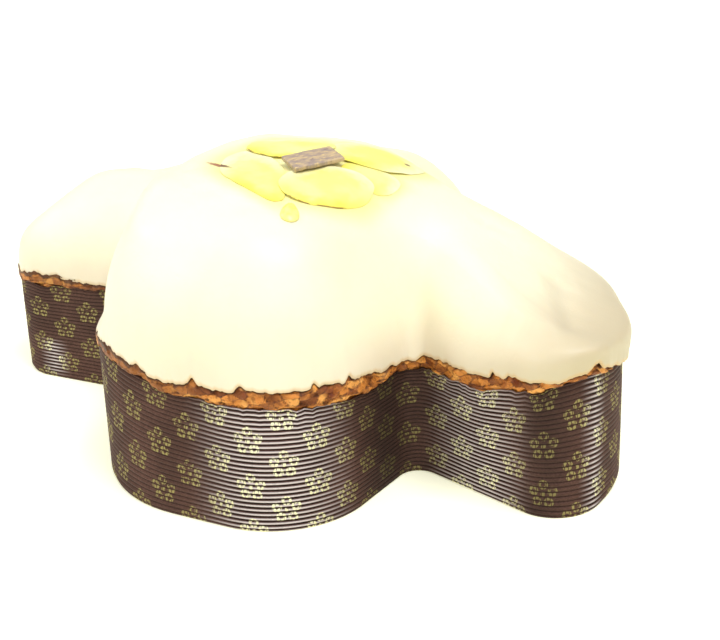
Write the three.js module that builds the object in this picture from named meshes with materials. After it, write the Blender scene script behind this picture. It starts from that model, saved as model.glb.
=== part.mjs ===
import * as THREE from 'three';

// Colomba cake in its paper case. Millimetres, +Z up. The head lobe points to -X, the tail lobe
// to +X and the front wing to -Y. Each solid is a skin of rings that share the same columns.

// Plan of the paper case: [x, y, fillet radius] of each corner, anticlockwise from the head.
const PLAN_CORNERS = [
  [-148, -35, 18],
  [-72, -29, 10],
  [-50, -113, 54],
  [55, -109, 44],
  [61, -36, 8],
  [139, -57, 24],
  [141, -8, 60],
  [112, 38, 36],
  [42, 36, 12],
  [28, 96, 44],
  [-78, 96, 44],
  [-76, 34, 12],
  [-146, 36, 26],
  [-153, 4, 40],
];
const ARC_STEPS = 12;
const COLUMNS = 140;

// Paper case.
const PAPER_THICKNESS = 1.2;
const RIM_HEIGHT = 52;
const RIM_WAVES = [
  { x: -42, y: -100, rise: 7.5, spread: 30 },
  { x: 64, y: -45, rise: -1.5, spread: 26 },
  { x: 142, y: -45, rise: 5.5, spread: 26 },
  { x: -130, y: -30, rise: -6, spread: 40 },
  { x: 85, y: -50, rise: -6.5, spread: 22 },
];

// Baked dome: how far it rises over the case, at the peak and out on each lobe.
const PEAK = new THREE.Vector2(10, -14);
const PEAK_HEIGHT = 121.5;
const LOBE_HEIGHT = { tail: 78, head: 83, frontWing: 106, backWing: 84 };
const LOBE_SPREAD = { tail: 50, head: 65, frontWing: 68, backWing: 55 };
const DOME_WAVES = [
  { x: -50, y: -62, rise: 7, spread: 24 },
  { x: -116, y: 4, rise: 5, spread: 20 },
  { x: -156, y: 0, rise: -10, spread: 24 },
  { x: 152, y: -4, rise: -9, spread: 30 },
  { x: 34, y: 54, rise: -4, spread: 20 },
  { x: -32, y: -6, rise: 4, spread: 18 },
];
// Width over which the dome rounds over to the sides, at the wings and out on the head and tail.
const SHOULDER_WIDTH = { wing: 30, lobe: 42 };
const LOBE_START = 65;
const LOBE_FULL = 105;
const SIDE_HEIGHT = 11;
const SIDE_STEP = 1;

// Rings close in on this plan point, more slowly along X so that they follow the long lobes.
const RING_CENTRE = new THREE.Vector2(10, -5);
const RING_X_POWER = 0.7;

// Icing: a thick coat that bulges over the rim and ends in a ragged edge.
const ICING_THICKNESS = 3;
const LIP_THICKNESS = 1.2;
const BULGE = 1.6;
const BULGE_WAVES = [
  { x: 140, y: -30, rise: 2.6, spread: 34 },
  { x: -52, y: -92, rise: -1.2, spread: 36 },
  { x: -150, y: -20, rise: -1.1, spread: 40 },
];
const SIDE_LEVELS = [
  { height: 0, bulge: 0.55, thickness: LIP_THICKNESS },
  { height: 0.35, bulge: 1, thickness: 2.2 },
  { height: 0.75, bulge: 0.9, thickness: ICING_THICKNESS },
];
const OUTER_RINGS = [0.99, 0.96, 0.91, 0.84, 0.75, 0.65, 0.55, 0.45, 0.35, 0.25, 0.16, 0.07];
const INNER_RINGS = [0.985, 0.93, 0.83, 0.68, 0.5, 0.32, 0.15];
const FOLD_DEPTH = 0.5;

// Crust that shows between the rim and the icing.
const CRUST_BAND = 5.2;
const CRUST_RAGGED = 1.7;
const CRUST_OUT = 0.7;
const CRUST_CRAG = 0.6;

// Clearance between neighbouring pieces, and between the cake and the coat of icing on it.
const GAP = 0.3;
const ICING_GAP = 0.5;

// Flower of thin petals on the peak, each laid over the ones before it: flared ovals, with the
// plan angle of their length in degrees.
const PETALS = [
  { name: 'petal_left', x: -0.5, y: -46, angle: -39, halfLength: 26, halfWidth: 10.5, flare: -0.4 },
  { name: 'petal_right', x: 37, y: -21, angle: -50, halfLength: 9, halfWidth: 11, flare: -0.3 },
  { name: 'petal_front', x: 28.5, y: -40, angle: 231, halfLength: 19, halfWidth: 13, flare: 0.25 },
  { name: 'petal_back_right', x: 28, y: 0, angle: 65, halfLength: 21, halfWidth: 15, flare: 0 },
  { name: 'petal_back_left', x: -3, y: -17, angle: 24, halfLength: 18, halfWidth: 11.5, flare: 0 },
];
const PETAL_THICKNESS = 0.8;
const PETAL_COLUMNS = 22;
const PETAL_RINGS = [0.35, 0.7, 1];
const SEAT_STEP = 0.125;
const SEAT_SPOTS = 48;
const LAP_START = 3.5;
const LAP_END = 9;

// Chocolate plaque in the middle of the flower.
const PLAQUE_CENTRE = new THREE.Vector2(15.5, -29.5);
const PLAQUE_LENGTH = 21.5;
const PLAQUE_WIDTH = 13;
const PLAQUE_THICKNESS = 1.8;
const PLAQUE_ANGLE = 57;
const PLAQUE_BEVEL = 0.3;
const PLAQUE_SPOTS = 12;

// Drop of yellow glaze below the flower.
const DROP_CENTRE = new THREE.Vector2(27.5, -67);
const DROP_HALF_LENGTH = 6;
const DROP_HALF_WIDTH = 3.3;
const DROP_HEIGHT = 1.8;
const DROP_ANGLE = -62;

const RANDOM_SEED = 11;

function seededRandom(seed) {
  let state = seed;
  return () => {
    state = (state * 16807) % 2147483647;
    return state / 2147483647;
  };
}

// Points along a closed polygon whose corners are rounded by their own fillet radius.
function filletedPolygon(corners) {
  const points = [];
  corners.forEach(([x, y, radius], index) => {
    const before = corners[(index + corners.length - 1) % corners.length];
    const after = corners[(index + 1) % corners.length];
    const corner = new THREE.Vector2(x, y);
    const toBefore = new THREE.Vector2(before[0], before[1]).sub(corner);
    const toAfter = new THREE.Vector2(after[0], after[1]).sub(corner);
    const room = Math.min(toBefore.length(), toAfter.length()) / 2;
    toBefore.normalize();
    toAfter.normalize();
    const halfAngle = Math.acos(toBefore.dot(toAfter)) / 2;
    const setback = Math.min(radius / Math.tan(halfAngle), room);
    const arcRadius = setback * Math.tan(halfAngle);
    const toCentre = toBefore.clone().add(toAfter).normalize();
    const centre = corner.clone().addScaledVector(toCentre, arcRadius / Math.sin(halfAngle));
    const start = corner.clone().addScaledVector(toBefore, setback).sub(centre).angle();
    const end = corner.clone().addScaledVector(toAfter, setback).sub(centre).angle();
    const turn = THREE.MathUtils.euclideanModulo(end - start + Math.PI, 2 * Math.PI) - Math.PI;
    for (let step = 0; step <= ARC_STEPS; step += 1) {
      const angle = start + (turn * step) / ARC_STEPS;
      const spoke = new THREE.Vector2(Math.cos(angle), Math.sin(angle));
      points.push(centre.clone().addScaledVector(spoke, arcRadius));
    }
  });
  return points;
}

// The same closed line as evenly spaced points.
function evenPoints(points, count) {
  const lengths = points.map((point, i) => point.distanceTo(points[(i + 1) % points.length]));
  const total = lengths.reduce((sum, length) => sum + length, 0);
  const even = [];
  let piece = 0;
  let passed = 0;
  for (let i = 0; i < count; i += 1) {
    const target = (total * i) / count;
    while (passed + lengths[piece] < target) {
      passed += lengths[piece];
      piece += 1;
    }
    const along = (target - passed) / lengths[piece];
    even.push(points[piece].clone().lerp(points[(piece + 1) % points.length], along));
  }
  return even;
}

function sumOfWaves(base, waves, x, y) {
  return waves.reduce((sum, wave) => {
    const squared = (x - wave.x) ** 2 + (y - wave.y) ** 2;
    return sum + wave.rise * Math.exp(-squared / (2 * wave.spread ** 2));
  }, base);
}

const rimHeight = (x, y) => sumOfWaves(RIM_HEIGHT, RIM_WAVES, x, y);

const OUTLINE = evenPoints(filletedPolygon(PLAN_CORNERS), COLUMNS);

// One column per outline point: its plan point, outward direction, rim, icing edge and bulge.
function makeColumns() {
  const random = seededRandom(RANDOM_SEED);
  return OUTLINE.map((point, i) => {
    const next = OUTLINE[(i + 1) % COLUMNS];
    const previous = OUTLINE[(i + COLUMNS - 1) % COLUMNS];
    const along = next.clone().sub(previous).normalize();
    return {
      point,
      outward: new THREE.Vector2(along.y, -along.x),
      rim: rimHeight(point.x, point.y),
      edge: CRUST_BAND + CRUST_RAGGED * (2 * random() - 1),
      bulge: sumOfWaves(BULGE, BULGE_WAVES, point.x, point.y),
      crag: CRUST_CRAG * (2 * random() - 1),
    };
  });
}

const columns = makeColumns();

function distanceToOutline(x, y) {
  let nearest = Infinity;
  OUTLINE.forEach((start, i) => {
    const end = OUTLINE[(i + 1) % COLUMNS];
    const dx = end.x - start.x;
    const dy = end.y - start.y;
    const along = ((x - start.x) * dx + (y - start.y) * dy) / (dx * dx + dy * dy);
    const held = THREE.MathUtils.clamp(along, 0, 1);
    nearest = Math.min(nearest, Math.hypot(x - start.x - held * dx, y - start.y - held * dy));
  });
  return nearest;
}

// Height of the dome's crown before it rounds over to the sides.
function crownHeight(x, y) {
  const dx = x - PEAK.x;
  const dy = y - PEAK.y;
  const end = dx > 0 ? 'tail' : 'head';
  const wing = dy < 0 ? 'frontWing' : 'backWing';
  const endShare = dx * dx + 1;
  const wingShare = dy * dy + 1;
  const lobe =
    (endShare * LOBE_HEIGHT[end] + wingShare * LOBE_HEIGHT[wing]) / (endShare + wingShare);
  const fall = (dx / LOBE_SPREAD[end]) ** 2 + (dy / LOBE_SPREAD[wing]) ** 2;
  const crown = lobe + (PEAK_HEIGHT - lobe) * Math.exp(-fall / 2);
  return sumOfWaves(crown, DOME_WAVES, x, y);
}

function shoulderWidth(x) {
  const share = THREE.MathUtils.smoothstep(Math.abs(x - PEAK.x), LOBE_START, LOBE_FULL);
  return THREE.MathUtils.lerp(SHOULDER_WIDTH.wing, SHOULDER_WIDTH.lobe, share);
}

const softFolds = (x, y) =>
  FOLD_DEPTH * (Math.sin(x / 17 + 1.3) * Math.sin(y / 21) + 0.6 * Math.sin((x + y) / 13));

// Height of the dome at a plan point, at some depth below the icing's outer face.
function domeHeight(x, y, depth = 0) {
  const inward = Math.max(distanceToOutline(x, y) - depth, 0) + SIDE_STEP;
  const shoulder = rimHeight(x, y) + SIDE_HEIGHT + SIDE_STEP;
  const crown = Math.max(crownHeight(x, y), shoulder + 3);
  const reach = Math.min(inward / shoulderWidth(x), 1);
  const roundOver = Math.sqrt(1 - (1 - reach) ** 2);
  return shoulder + (crown - shoulder) * roundOver + softFolds(x, y) * roundOver - depth;
}

function ring(offset, height) {
  return columns.map((column) => {
    const plan = column.point.clone().addScaledVector(column.outward, offset(column));
    return new THREE.Vector3(plan.x, plan.y, height(column));
  });
}

function sideRing(level, extraDepth) {
  const offset = (column) => column.bulge * level.bulge - extraDepth;
  const height = ({ rim, edge }) => rim + edge + level.height * (SIDE_HEIGHT - edge);
  return ring(offset, height);
}

function domeRing(share, depth) {
  return columns.map((column) => {
    const edge = column.point.clone().addScaledVector(column.outward, -depth);
    const plan = edge.sub(RING_CENTRE);
    plan.multiply(new THREE.Vector2(share ** RING_X_POWER, share)).add(RING_CENTRE);
    return new THREE.Vector3(plan.x, plan.y, domeHeight(plan.x, plan.y, depth));
  });
}

const pole = (height) => new THREE.Vector3(RING_CENTRE.x, RING_CENTRE.y, height);
const domePole = (depth) => pole(domeHeight(RING_CENTRE.x, RING_CENTRE.y, depth));

// Closed skin from a start pole through rings of equal length to an end pole. A strip whose
// upper ring has turned set is split along its other diagonal.
function skin(startPole, rings, endPole) {
  const count = rings[0].points.length;
  const positions = [startPole, ...rings.flatMap(({ points }) => points), endPole];
  const last = positions.length - 1;
  const at = (row, i) => 1 + row * count + (i % count);
  const index = [];
  for (let i = 0; i < count; i += 1) {
    index.push(0, at(0, i + 1), at(0, i));
    for (let row = 1; row < rings.length; row += 1) {
      const [a, b] = [at(row - 1, i), at(row - 1, i + 1)];
      const [c, d] = [at(row, i + 1), at(row, i)];
      index.push(...(rings[row].turned ? [a, b, d, b, c, d] : [a, b, c, a, c, d]));
    }
    index.push(at(rings.length - 1, i), at(rings.length - 1, i + 1), last);
  }
  const geometry = new THREE.BufferGeometry().setFromPoints(positions);
  geometry.setIndex(index);
  geometry.computeVertexNormals();
  return geometry;
}

const plain = (points) => ({ points, turned: false });
const turned = (points) => ({ points, turned: true });

function paperCase() {
  const rim = ({ rim: height }) => height;
  const rings = [
    ring(() => 0, () => 0),
    ring(() => 0, rim),
    ring(() => -PAPER_THICKNESS, rim),
    ring(() => -PAPER_THICKNESS, () => PAPER_THICKNESS),
  ];
  return skin(pole(0), rings.map(plain), pole(PAPER_THICKNESS));
}

function cakeBody() {
  const inside = -(PAPER_THICKNESS + GAP);
  const floor = PAPER_THICKNESS + GAP;
  const depth = ICING_THICKNESS + ICING_GAP;
  const rings = [
    ring(() => inside, () => floor),
    ring(() => inside, ({ rim }) => rim + 1.2 * GAP),
    ring(() => CRUST_OUT, ({ rim }) => rim + 4 * GAP),
    ring(({ crag }) => CRUST_OUT + crag, ({ rim, edge }) => rim + 0.6 * edge),
    ...SIDE_LEVELS.map((level) => sideRing(level, level.thickness + ICING_GAP)),
    ...INNER_RINGS.map((share) => domeRing(share, depth)),
  ];
  return skin(pole(floor), rings.map(plain), domePole(depth));
}

function icing() {
  const inner = [
    ...INNER_RINGS.map((share) => domeRing(share, ICING_THICKNESS)).reverse(),
    ...SIDE_LEVELS.map((level) => sideRing(level, level.thickness)).reverse(),
  ];
  const outer = [
    ...SIDE_LEVELS.map((level) => sideRing(level, 0)),
    ...OUTER_RINGS.map((share) => domeRing(share, 0)),
  ];
  const rings = [...inner.map(turned), ...outer.map(plain)];
  return skin(domePole(ICING_THICKNESS), rings, domePole(0));
}

function mesh(name, geometry, colour, roughness) {
  const material = new THREE.MeshStandardMaterial({ color: colour, roughness });
  material.name = name;
  const piece = new THREE.Mesh(geometry, material);
  piece.name = name;
  return piece;
}

// Petals: each has a frame along and across its length.
const petals = PETALS.map(({ x, y, angle, halfLength, halfWidth, flare }) => {
  const radians = THREE.MathUtils.degToRad(angle);
  const along = new THREE.Vector2(Math.cos(radians), Math.sin(radians));
  const across = new THREE.Vector2(-along.y, along.x);
  return { along, across, centre: new THREE.Vector2(x, y), halfLength, halfWidth, flare };
});

// 1 on the petal's outline, less inside it.
function petalShare({ centre, along, across, halfLength, halfWidth, flare }, x, y) {
  const local = new THREE.Vector2(x, y).sub(centre);
  const u = local.dot(along) / halfLength;
  const width = halfWidth * (1 + flare * THREE.MathUtils.clamp(u, -1, 1));
  return Math.hypot(u, local.dot(across) / width);
}

const icingMesh = mesh('icing', icing(), 0xf6ecd2, 0.4);
const plumbLine = new THREE.Raycaster();

// Height of the topmost of some meshes at a plan point.
function topHeight(meshes, x, y) {
  plumbLine.set(new THREE.Vector3(x, y, 2 * PEAK_HEIGHT), new THREE.Vector3(0, 0, -1));
  return plumbLine.intersectObjects(meshes)[0].point.z;
}

// How far the icing's facets stand above the smooth dome under a flat oval piece.
function seatUnder(ovalPoint) {
  let seat = 0;
  for (let share = 0; share <= 1; share += SEAT_STEP) {
    for (let i = 0; i < SEAT_SPOTS; i += 1) {
      const { x, y } = ovalPoint(share, (2 * Math.PI * i) / SEAT_SPOTS);
      seat = Math.max(seat, topHeight([icingMesh], x, y) - domeHeight(x, y));
    }
  }
  return seat + GAP;
}

// Thin piece on the dome: ovalPoint gives its plan, underside and bodyHeight its two faces.
function lyingPiece(ovalPoint, underside, bodyHeight) {
  const place = (share, i, raised) => {
    const { x, y } = ovalPoint(share, (2 * Math.PI * i) / PETAL_COLUMNS);
    return new THREE.Vector3(x, y, underside(x, y) + (raised ? bodyHeight(share) : 0));
  };
  const oval = (share, raised) =>
    Array.from({ length: PETAL_COLUMNS }, (_, i) => place(share, i, raised));
  const below = PETAL_RINGS.map((share) => turned(oval(share, false)));
  const above = PETAL_RINGS.map((share) => plain(oval(share, true))).reverse();
  return skin(place(0, 0, false), [...below, ...above], place(0, 0, true));
}

const petalPoint = ({ centre, along, across, halfLength, halfWidth, flare }) => (share, angle) => {
  const u = share * Math.cos(angle);
  const width = halfWidth * (1 + flare * u);
  return centre
    .clone()
    .addScaledVector(along, u * halfLength)
    .addScaledVector(across, share * Math.sin(angle) * width);
};

const flowerSeat = Math.max(...petals.map((shape) => seatUnder(petalPoint(shape))));

// Underside of a piece that lies on the flower's first `under` petals.
const onPetals = (under) => (x, y) =>
  petals.slice(0, under).reduce((height, shape) => {
    const beyond = (petalShare(shape, x, y) - 1) * shape.halfWidth;
    const lift = 1 - THREE.MathUtils.smoothstep(beyond, LAP_START, LAP_END);
    return height + lift * (PETAL_THICKNESS + GAP);
  }, domeHeight(x, y) + flowerSeat);

const petal = (order) =>
  lyingPiece(petalPoint(petals[order]), onPetals(order), () => PETAL_THICKNESS);

function yellowDrop() {
  const angle = THREE.MathUtils.degToRad(DROP_ANGLE);
  const along = new THREE.Vector2(Math.cos(angle), Math.sin(angle));
  const across = new THREE.Vector2(-along.y, along.x);
  const ovalPoint = (share, turn) =>
    DROP_CENTRE.clone()
      .addScaledVector(along, share * Math.cos(turn) * DROP_HALF_LENGTH)
      .addScaledVector(across, share * Math.sin(turn) * DROP_HALF_WIDTH);
  const seat = seatUnder(ovalPoint);
  const underside = (x, y) => domeHeight(x, y) + seat;
  const bodyHeight = (share) => DROP_HEIGHT * Math.sqrt(1.06 - share * share);
  return lyingPiece(ovalPoint, underside, bodyHeight);
}

const YELLOW = 0xf5e35a;

const petalMeshes = PETALS.map(({ name }, order) => mesh(name, petal(order), YELLOW, 0.5));

// Flat tablet with eased edges, laid square to the dome on top of the petals.
function plaque() {
  const outline = new THREE.Shape();
  const halfLength = PLAQUE_LENGTH / 2 - PLAQUE_BEVEL;
  const halfWidth = PLAQUE_WIDTH / 2 - PLAQUE_BEVEL;
  outline.moveTo(-halfLength, -halfWidth);
  outline.lineTo(halfLength, -halfWidth);
  outline.lineTo(halfLength, halfWidth);
  outline.lineTo(-halfLength, halfWidth);
  outline.closePath();
  const geometry = new THREE.ExtrudeGeometry(outline, {
    depth: PLAQUE_THICKNESS - 2 * PLAQUE_BEVEL,
    bevelThickness: PLAQUE_BEVEL,
    bevelSize: PLAQUE_BEVEL,
    bevelSegments: 1,
  });
  geometry.translate(0, 0, PLAQUE_BEVEL);
  geometry.rotateZ(THREE.MathUtils.degToRad(PLAQUE_ANGLE));
  const { x, y } = PLAQUE_CENTRE;
  const reach = PLAQUE_WIDTH / 2;
  const slopeX = (domeHeight(x + reach, y) - domeHeight(x - reach, y)) / (2 * reach);
  const slopeY = (domeHeight(x, y + reach) - domeHeight(x, y - reach)) / (2 * reach);
  const normal = new THREE.Vector3(-slopeX, -slopeY, 1).normalize();
  const lean = new THREE.Quaternion().setFromUnitVectors(new THREE.Vector3(0, 0, 1), normal);
  geometry.applyQuaternion(lean);
  geometry.translate(x, y, plaqueRise(x, y, slopeX, slopeY));
  return geometry;
}

// Height at which the leaning plaque just clears everything under it.
function plaqueRise(x, y, slopeX, slopeY) {
  const turn = THREE.MathUtils.degToRad(PLAQUE_ANGLE);
  const below = [icingMesh, ...petalMeshes];
  let rise = -Infinity;
  for (let i = -PLAQUE_SPOTS; i <= PLAQUE_SPOTS; i += 1) {
    for (let j = -PLAQUE_SPOTS; j <= PLAQUE_SPOTS; j += 1) {
      const along = (PLAQUE_LENGTH * i) / (2 * PLAQUE_SPOTS);
      const across = (PLAQUE_WIDTH * j) / (2 * PLAQUE_SPOTS);
      const dx = along * Math.cos(turn) - across * Math.sin(turn);
      const dy = along * Math.sin(turn) + across * Math.cos(turn);
      const height = topHeight(below, x + dx, y + dy);
      rise = Math.max(rise, height - slopeX * dx - slopeY * dy);
    }
  }
  return rise + GAP;
}

const pieces = [
  mesh('paper_case', paperCase(), 0x4b3a37, 0.55),
  mesh('cake', cakeBody(), 0xb86a24, 0.8),
  icingMesh,
  ...petalMeshes,
  mesh('yellow_drop', yellowDrop(), YELLOW, 0.4),
  mesh('plaque', plaque(), 0x4a3232, 0.45),
];

// The whole is centred in plan and stands on Z = 0.
const part = new THREE.Group();
part.name = 'colomba_cake';
part.add(...pieces);
const middle = new THREE.Box3().setFromObject(part).getCenter(new THREE.Vector3());
pieces.forEach(({ geometry }) => geometry.translate(-middle.x, -middle.y, 0));

export default part;
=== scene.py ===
"""Colomba cake in its paper case. Lengths here are plan millimetres until a mesh is made."""

import itertools
import math

import bpy
import numpy as np
from mathutils import Matrix, Vector


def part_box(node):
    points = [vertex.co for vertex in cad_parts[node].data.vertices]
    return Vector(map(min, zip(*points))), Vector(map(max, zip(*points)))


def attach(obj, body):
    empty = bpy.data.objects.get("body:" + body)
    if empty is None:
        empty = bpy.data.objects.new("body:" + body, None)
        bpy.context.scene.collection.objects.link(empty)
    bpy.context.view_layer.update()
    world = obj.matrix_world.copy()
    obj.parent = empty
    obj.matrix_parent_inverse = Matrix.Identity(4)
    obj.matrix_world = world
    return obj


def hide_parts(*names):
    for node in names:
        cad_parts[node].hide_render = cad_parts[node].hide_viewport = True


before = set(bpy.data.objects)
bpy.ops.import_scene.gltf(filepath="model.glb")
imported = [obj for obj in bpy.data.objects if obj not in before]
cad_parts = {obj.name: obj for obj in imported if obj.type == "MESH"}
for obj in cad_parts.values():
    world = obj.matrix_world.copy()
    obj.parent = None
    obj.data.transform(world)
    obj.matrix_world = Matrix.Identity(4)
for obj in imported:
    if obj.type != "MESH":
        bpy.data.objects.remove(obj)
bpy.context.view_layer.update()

MM = 0.001
SEED = 11

# Plan of the paper case: x, y and fillet radius of each corner, anticlockwise from the head.
PLAN_CORNERS = (
    (-148, -35, 18), (-72, -29, 10), (-50, -113, 54), (55, -109, 44), (61, -36, 8),
    (139, -57, 24), (141, -8, 60), (112, 38, 36), (42, 36, 12), (28, 96, 44),
    (-78, 96, 44), (-76, 34, 12), (-146, 36, 26), (-153, 4, 40),
)
ARC_STEPS = 24

# Smooth fields over the plan are a level plus bumps, each (x, y, rise, spread).
RIM_HEIGHT = 52
RIM_BUMPS = (
    (-42, -100, 7.5, 30), (64, -45, -1.5, 26), (142, -45, 5.5, 26), (-130, -30, -6, 40),
    (85, -50, -6.5, 22), (78, -41, 1.8, 9), (137, -42, 1.6, 8),
)
# Crown of the dome: its peak, the heights and spreads of the four lobes' ends, and bumps.
PEAK = (10, -14)
PEAK_HEIGHT = 121.5
TAIL_HEIGHT, HEAD_HEIGHT = 78, 83
FRONT_HEIGHT, BACK_HEIGHT = 106, 84
TAIL_SPREAD, HEAD_SPREAD = 50, 65
FRONT_SPREAD, BACK_SPREAD = 68, 55
DOME_BUMPS = (
    (-50, -62, 7, 24), (-116, 4, 5, 20), (-156, 0, -10, 24), (152, -4, -9, 30),
    (34, 54, -4, 20), (-32, -6, 4, 18), (-58, -60, 4, 15),
)
LEAST_CROWN = 3
# How wide the dome's round shoulder is, at the wings and at the head and tail.
SHOULDER_WING, SHOULDER_LOBE = 30, 42
SHOULDER_BUMPS = ((-58, -72, -13, 26),)
LOBE_START, LOBE_FULL = 65, 105
# The icing's side goes up from the rim by that height, and the shoulder starts a step beyond it.
SIDE_HEIGHT = 11
SIDE_STEP = 1

# The dome is blurred well inside its edge, so that no crease of the plan's distance shows.
GRID_STEP = 1.0
GRID_MARGIN = 12
BLUR = 4.0
BLUR_START, BLUR_FULL = 3, 12

# Plan point that the dome's rings close in on, and the power by which they do so later along X.
RING_CENTRE = np.array([10.0, -5.0])
RING_X_POWER = 0.7


def nearness(x, y, centre_x, centre_y, spread):
    """1 at a centre of the plan, falling away like a bell."""
    squared = (x - centre_x) ** 2 + (y - centre_y) ** 2
    return np.exp(-squared / (2 * spread**2))


def sum_of_bumps(level, bumps, x, y):
    total = np.full(np.shape(x), float(level))
    for bump_x, bump_y, rise, spread in bumps:
        total += rise * nearness(x, y, bump_x, bump_y, spread)
    return total


def smoothstep(value, low, high):
    share = np.clip((value - low) / (high - low), 0, 1)
    return share * share * (3 - 2 * share)


def filleted_polygon(corners):
    points = []
    for index, (x, y, radius) in enumerate(corners):
        corner = np.array([x, y], float)
        to_before = np.array(corners[index - 1][:2]) - corner
        to_after = np.array(corners[(index + 1) % len(corners)][:2]) - corner
        room = min(np.linalg.norm(to_before), np.linalg.norm(to_after)) / 2
        to_before /= np.linalg.norm(to_before)
        to_after /= np.linalg.norm(to_after)
        half_angle = math.acos(to_before @ to_after) / 2
        setback = min(radius / math.tan(half_angle), room)
        arc_radius = setback * math.tan(half_angle)
        towards = (to_before + to_after) / np.linalg.norm(to_before + to_after)
        centre = corner + towards * arc_radius / math.sin(half_angle)
        first = corner + to_before * setback - centre
        last = corner + to_after * setback - centre
        start = math.atan2(first[1], first[0])
        turn = (math.atan2(last[1], last[0]) - start + math.pi) % (2 * math.pi) - math.pi
        angles = start + turn * np.linspace(0, 1, ARC_STEPS + 1)
        points.extend(centre + arc_radius * np.stack([np.cos(angles), np.sin(angles)], 1))
    return np.array(points)


class Outline:
    """Evenly spaced columns round the case: plan points, outward directions and arc lengths."""

    def __init__(self, count):
        corners = filleted_polygon(PLAN_CORNERS)
        closed = np.vstack([corners, corners[:1]])
        passed = np.r_[0, np.cumsum(np.linalg.norm(np.diff(closed, axis=0), axis=1))]
        self.total = passed[-1]
        self.arc = np.linspace(0, self.total, count, endpoint=False)
        self.points = np.stack([np.interp(self.arc, passed, closed[:, k]) for k in (0, 1)], 1)
        along = np.roll(self.points, -1, 0) - np.roll(self.points, 1, 0)
        along /= np.linalg.norm(along, axis=1)[:, None]
        self.outward = np.stack([along[:, 1], -along[:, 0]], 1)
        self.x, self.y = self.points.T
        self.rim = rim_height(self.x, self.y)

    def ring(self, offset, height):
        """One row of 3-D points at that outward offset and height."""
        plan = self.points + self.outward * np.reshape(offset, (-1, 1))
        heights = np.broadcast_to(height, self.x.shape)
        return np.column_stack([plan, heights])

    def unevenness(self, size, count, seed, fall=0.5):
        """Noise along the outline, one value for each column."""
        return octaves(self.ring(0, 0), size, count, seed, fall)


def rim_height(x, y):
    return sum_of_bumps(RIM_HEIGHT, RIM_BUMPS, x, y)


BLOCK = 4000


def distance_to_segments(x, y, starts, ends):
    """Distance from plan points to the nearest segment, in blocks that fit in memory."""
    spans = ends - starts
    squared = (spans**2).sum(1)
    places = np.stack([np.ravel(x), np.ravel(y)], 1)
    nearest = np.empty(len(places))
    for block in range(0, len(places), BLOCK):
        part = places[block:block + BLOCK, None] - starts[None]
        along = np.clip((part * spans).sum(2) / squared, 0, 1)
        apart = part - along[..., None] * spans
        nearest[block:block + BLOCK] = np.sqrt((apart**2).sum(2).min(1))
    return nearest.reshape(np.shape(x))


DISTANCE_COLUMNS = 420
DISTANCE_LINE = Outline(DISTANCE_COLUMNS).points


def inward_distance(x, y):
    return distance_to_segments(x, y, DISTANCE_LINE, np.roll(DISTANCE_LINE, -1, 0))


def crown_height(x, y):
    """Height of the dome's crown before it rounds over to the sides."""
    dx, dy = x - PEAK[0], y - PEAK[1]
    end_height = np.where(dx > 0, TAIL_HEIGHT, HEAD_HEIGHT)
    wing_height = np.where(dy < 0, FRONT_HEIGHT, BACK_HEIGHT)
    end_spread = np.where(dx > 0, TAIL_SPREAD, HEAD_SPREAD)
    wing_spread = np.where(dy < 0, FRONT_SPREAD, BACK_SPREAD)
    end_share, wing_share = dx**2 + 1, dy**2 + 1
    lobe = (end_share * end_height + wing_share * wing_height) / (end_share + wing_share)
    fall = (dx / end_spread) ** 2 + (dy / wing_spread) ** 2
    return sum_of_bumps(0, DOME_BUMPS, x, y) + lobe + (PEAK_HEIGHT - lobe) * np.exp(-fall / 2)


def shoulder_width(x, y):
    share = smoothstep(np.abs(x - PEAK[0]), LOBE_START, LOBE_FULL)
    width = SHOULDER_WING + (SHOULDER_LOBE - SHOULDER_WING) * share
    return width + sum_of_bumps(0, SHOULDER_BUMPS, x, y)


def round_over_height(x, y, reach):
    """Height where the dome has rounded over by that share of its shoulder."""
    shoulder = rim_height(x, y) + SIDE_HEIGHT + SIDE_STEP
    crown = np.maximum(crown_height(x, y), shoulder + LEAST_CROWN)
    return shoulder + (crown - shoulder) * np.sqrt(1 - (1 - reach) ** 2)


def blurred(field, width):
    """Gaussian blur of a 2-D field, width in cells."""
    reach = int(3 * width) + 1
    kernel = np.exp(-np.arange(-reach, reach + 1) ** 2 / (2 * width**2))
    kernel /= kernel.sum()
    for axis in (0, 1):
        field = np.apply_along_axis(
            lambda line: np.convolve(np.pad(line, reach, mode="edge"), kernel, "valid"),
            axis, field,
        )
    return field


class DomeGrid:
    """The dome's height over the plan, smooth everywhere, read by cubic B-splines."""

    def __init__(self):
        low = DISTANCE_LINE.min(0) - GRID_MARGIN
        high = DISTANCE_LINE.max(0) + GRID_MARGIN
        self.low = low
        xs = np.arange(low[0], high[0], GRID_STEP)
        ys = np.arange(low[1], high[1], GRID_STEP)
        x, y = np.meshgrid(xs, ys, indexing="ij")
        inward = inward_distance(x, y)
        reach = np.minimum((inward + SIDE_STEP) / shoulder_width(x, y), 1)
        sharp = round_over_height(x, y, reach)
        weight = smoothstep(inward, BLUR_START, BLUR_FULL)
        self.heights = sharp + weight * (blurred(sharp, BLUR / GRID_STEP) - sharp)
        self.heights += weight * lumps(x, y)

    def __call__(self, x, y):
        place = (np.stack([x, y], -1) - self.low) / GRID_STEP
        cell = np.floor(place).astype(int)
        part = place - cell
        weights = spline_weights(part)
        total = np.zeros(np.shape(x))
        for i, j in itertools.product(range(4), repeat=2):
            column = np.clip(cell[..., 0] + i - 1, 0, self.heights.shape[0] - 1)
            row = np.clip(cell[..., 1] + j - 1, 0, self.heights.shape[1] - 1)
            total += weights[i][..., 0] * weights[j][..., 1] * self.heights[column, row]
        return total


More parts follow.
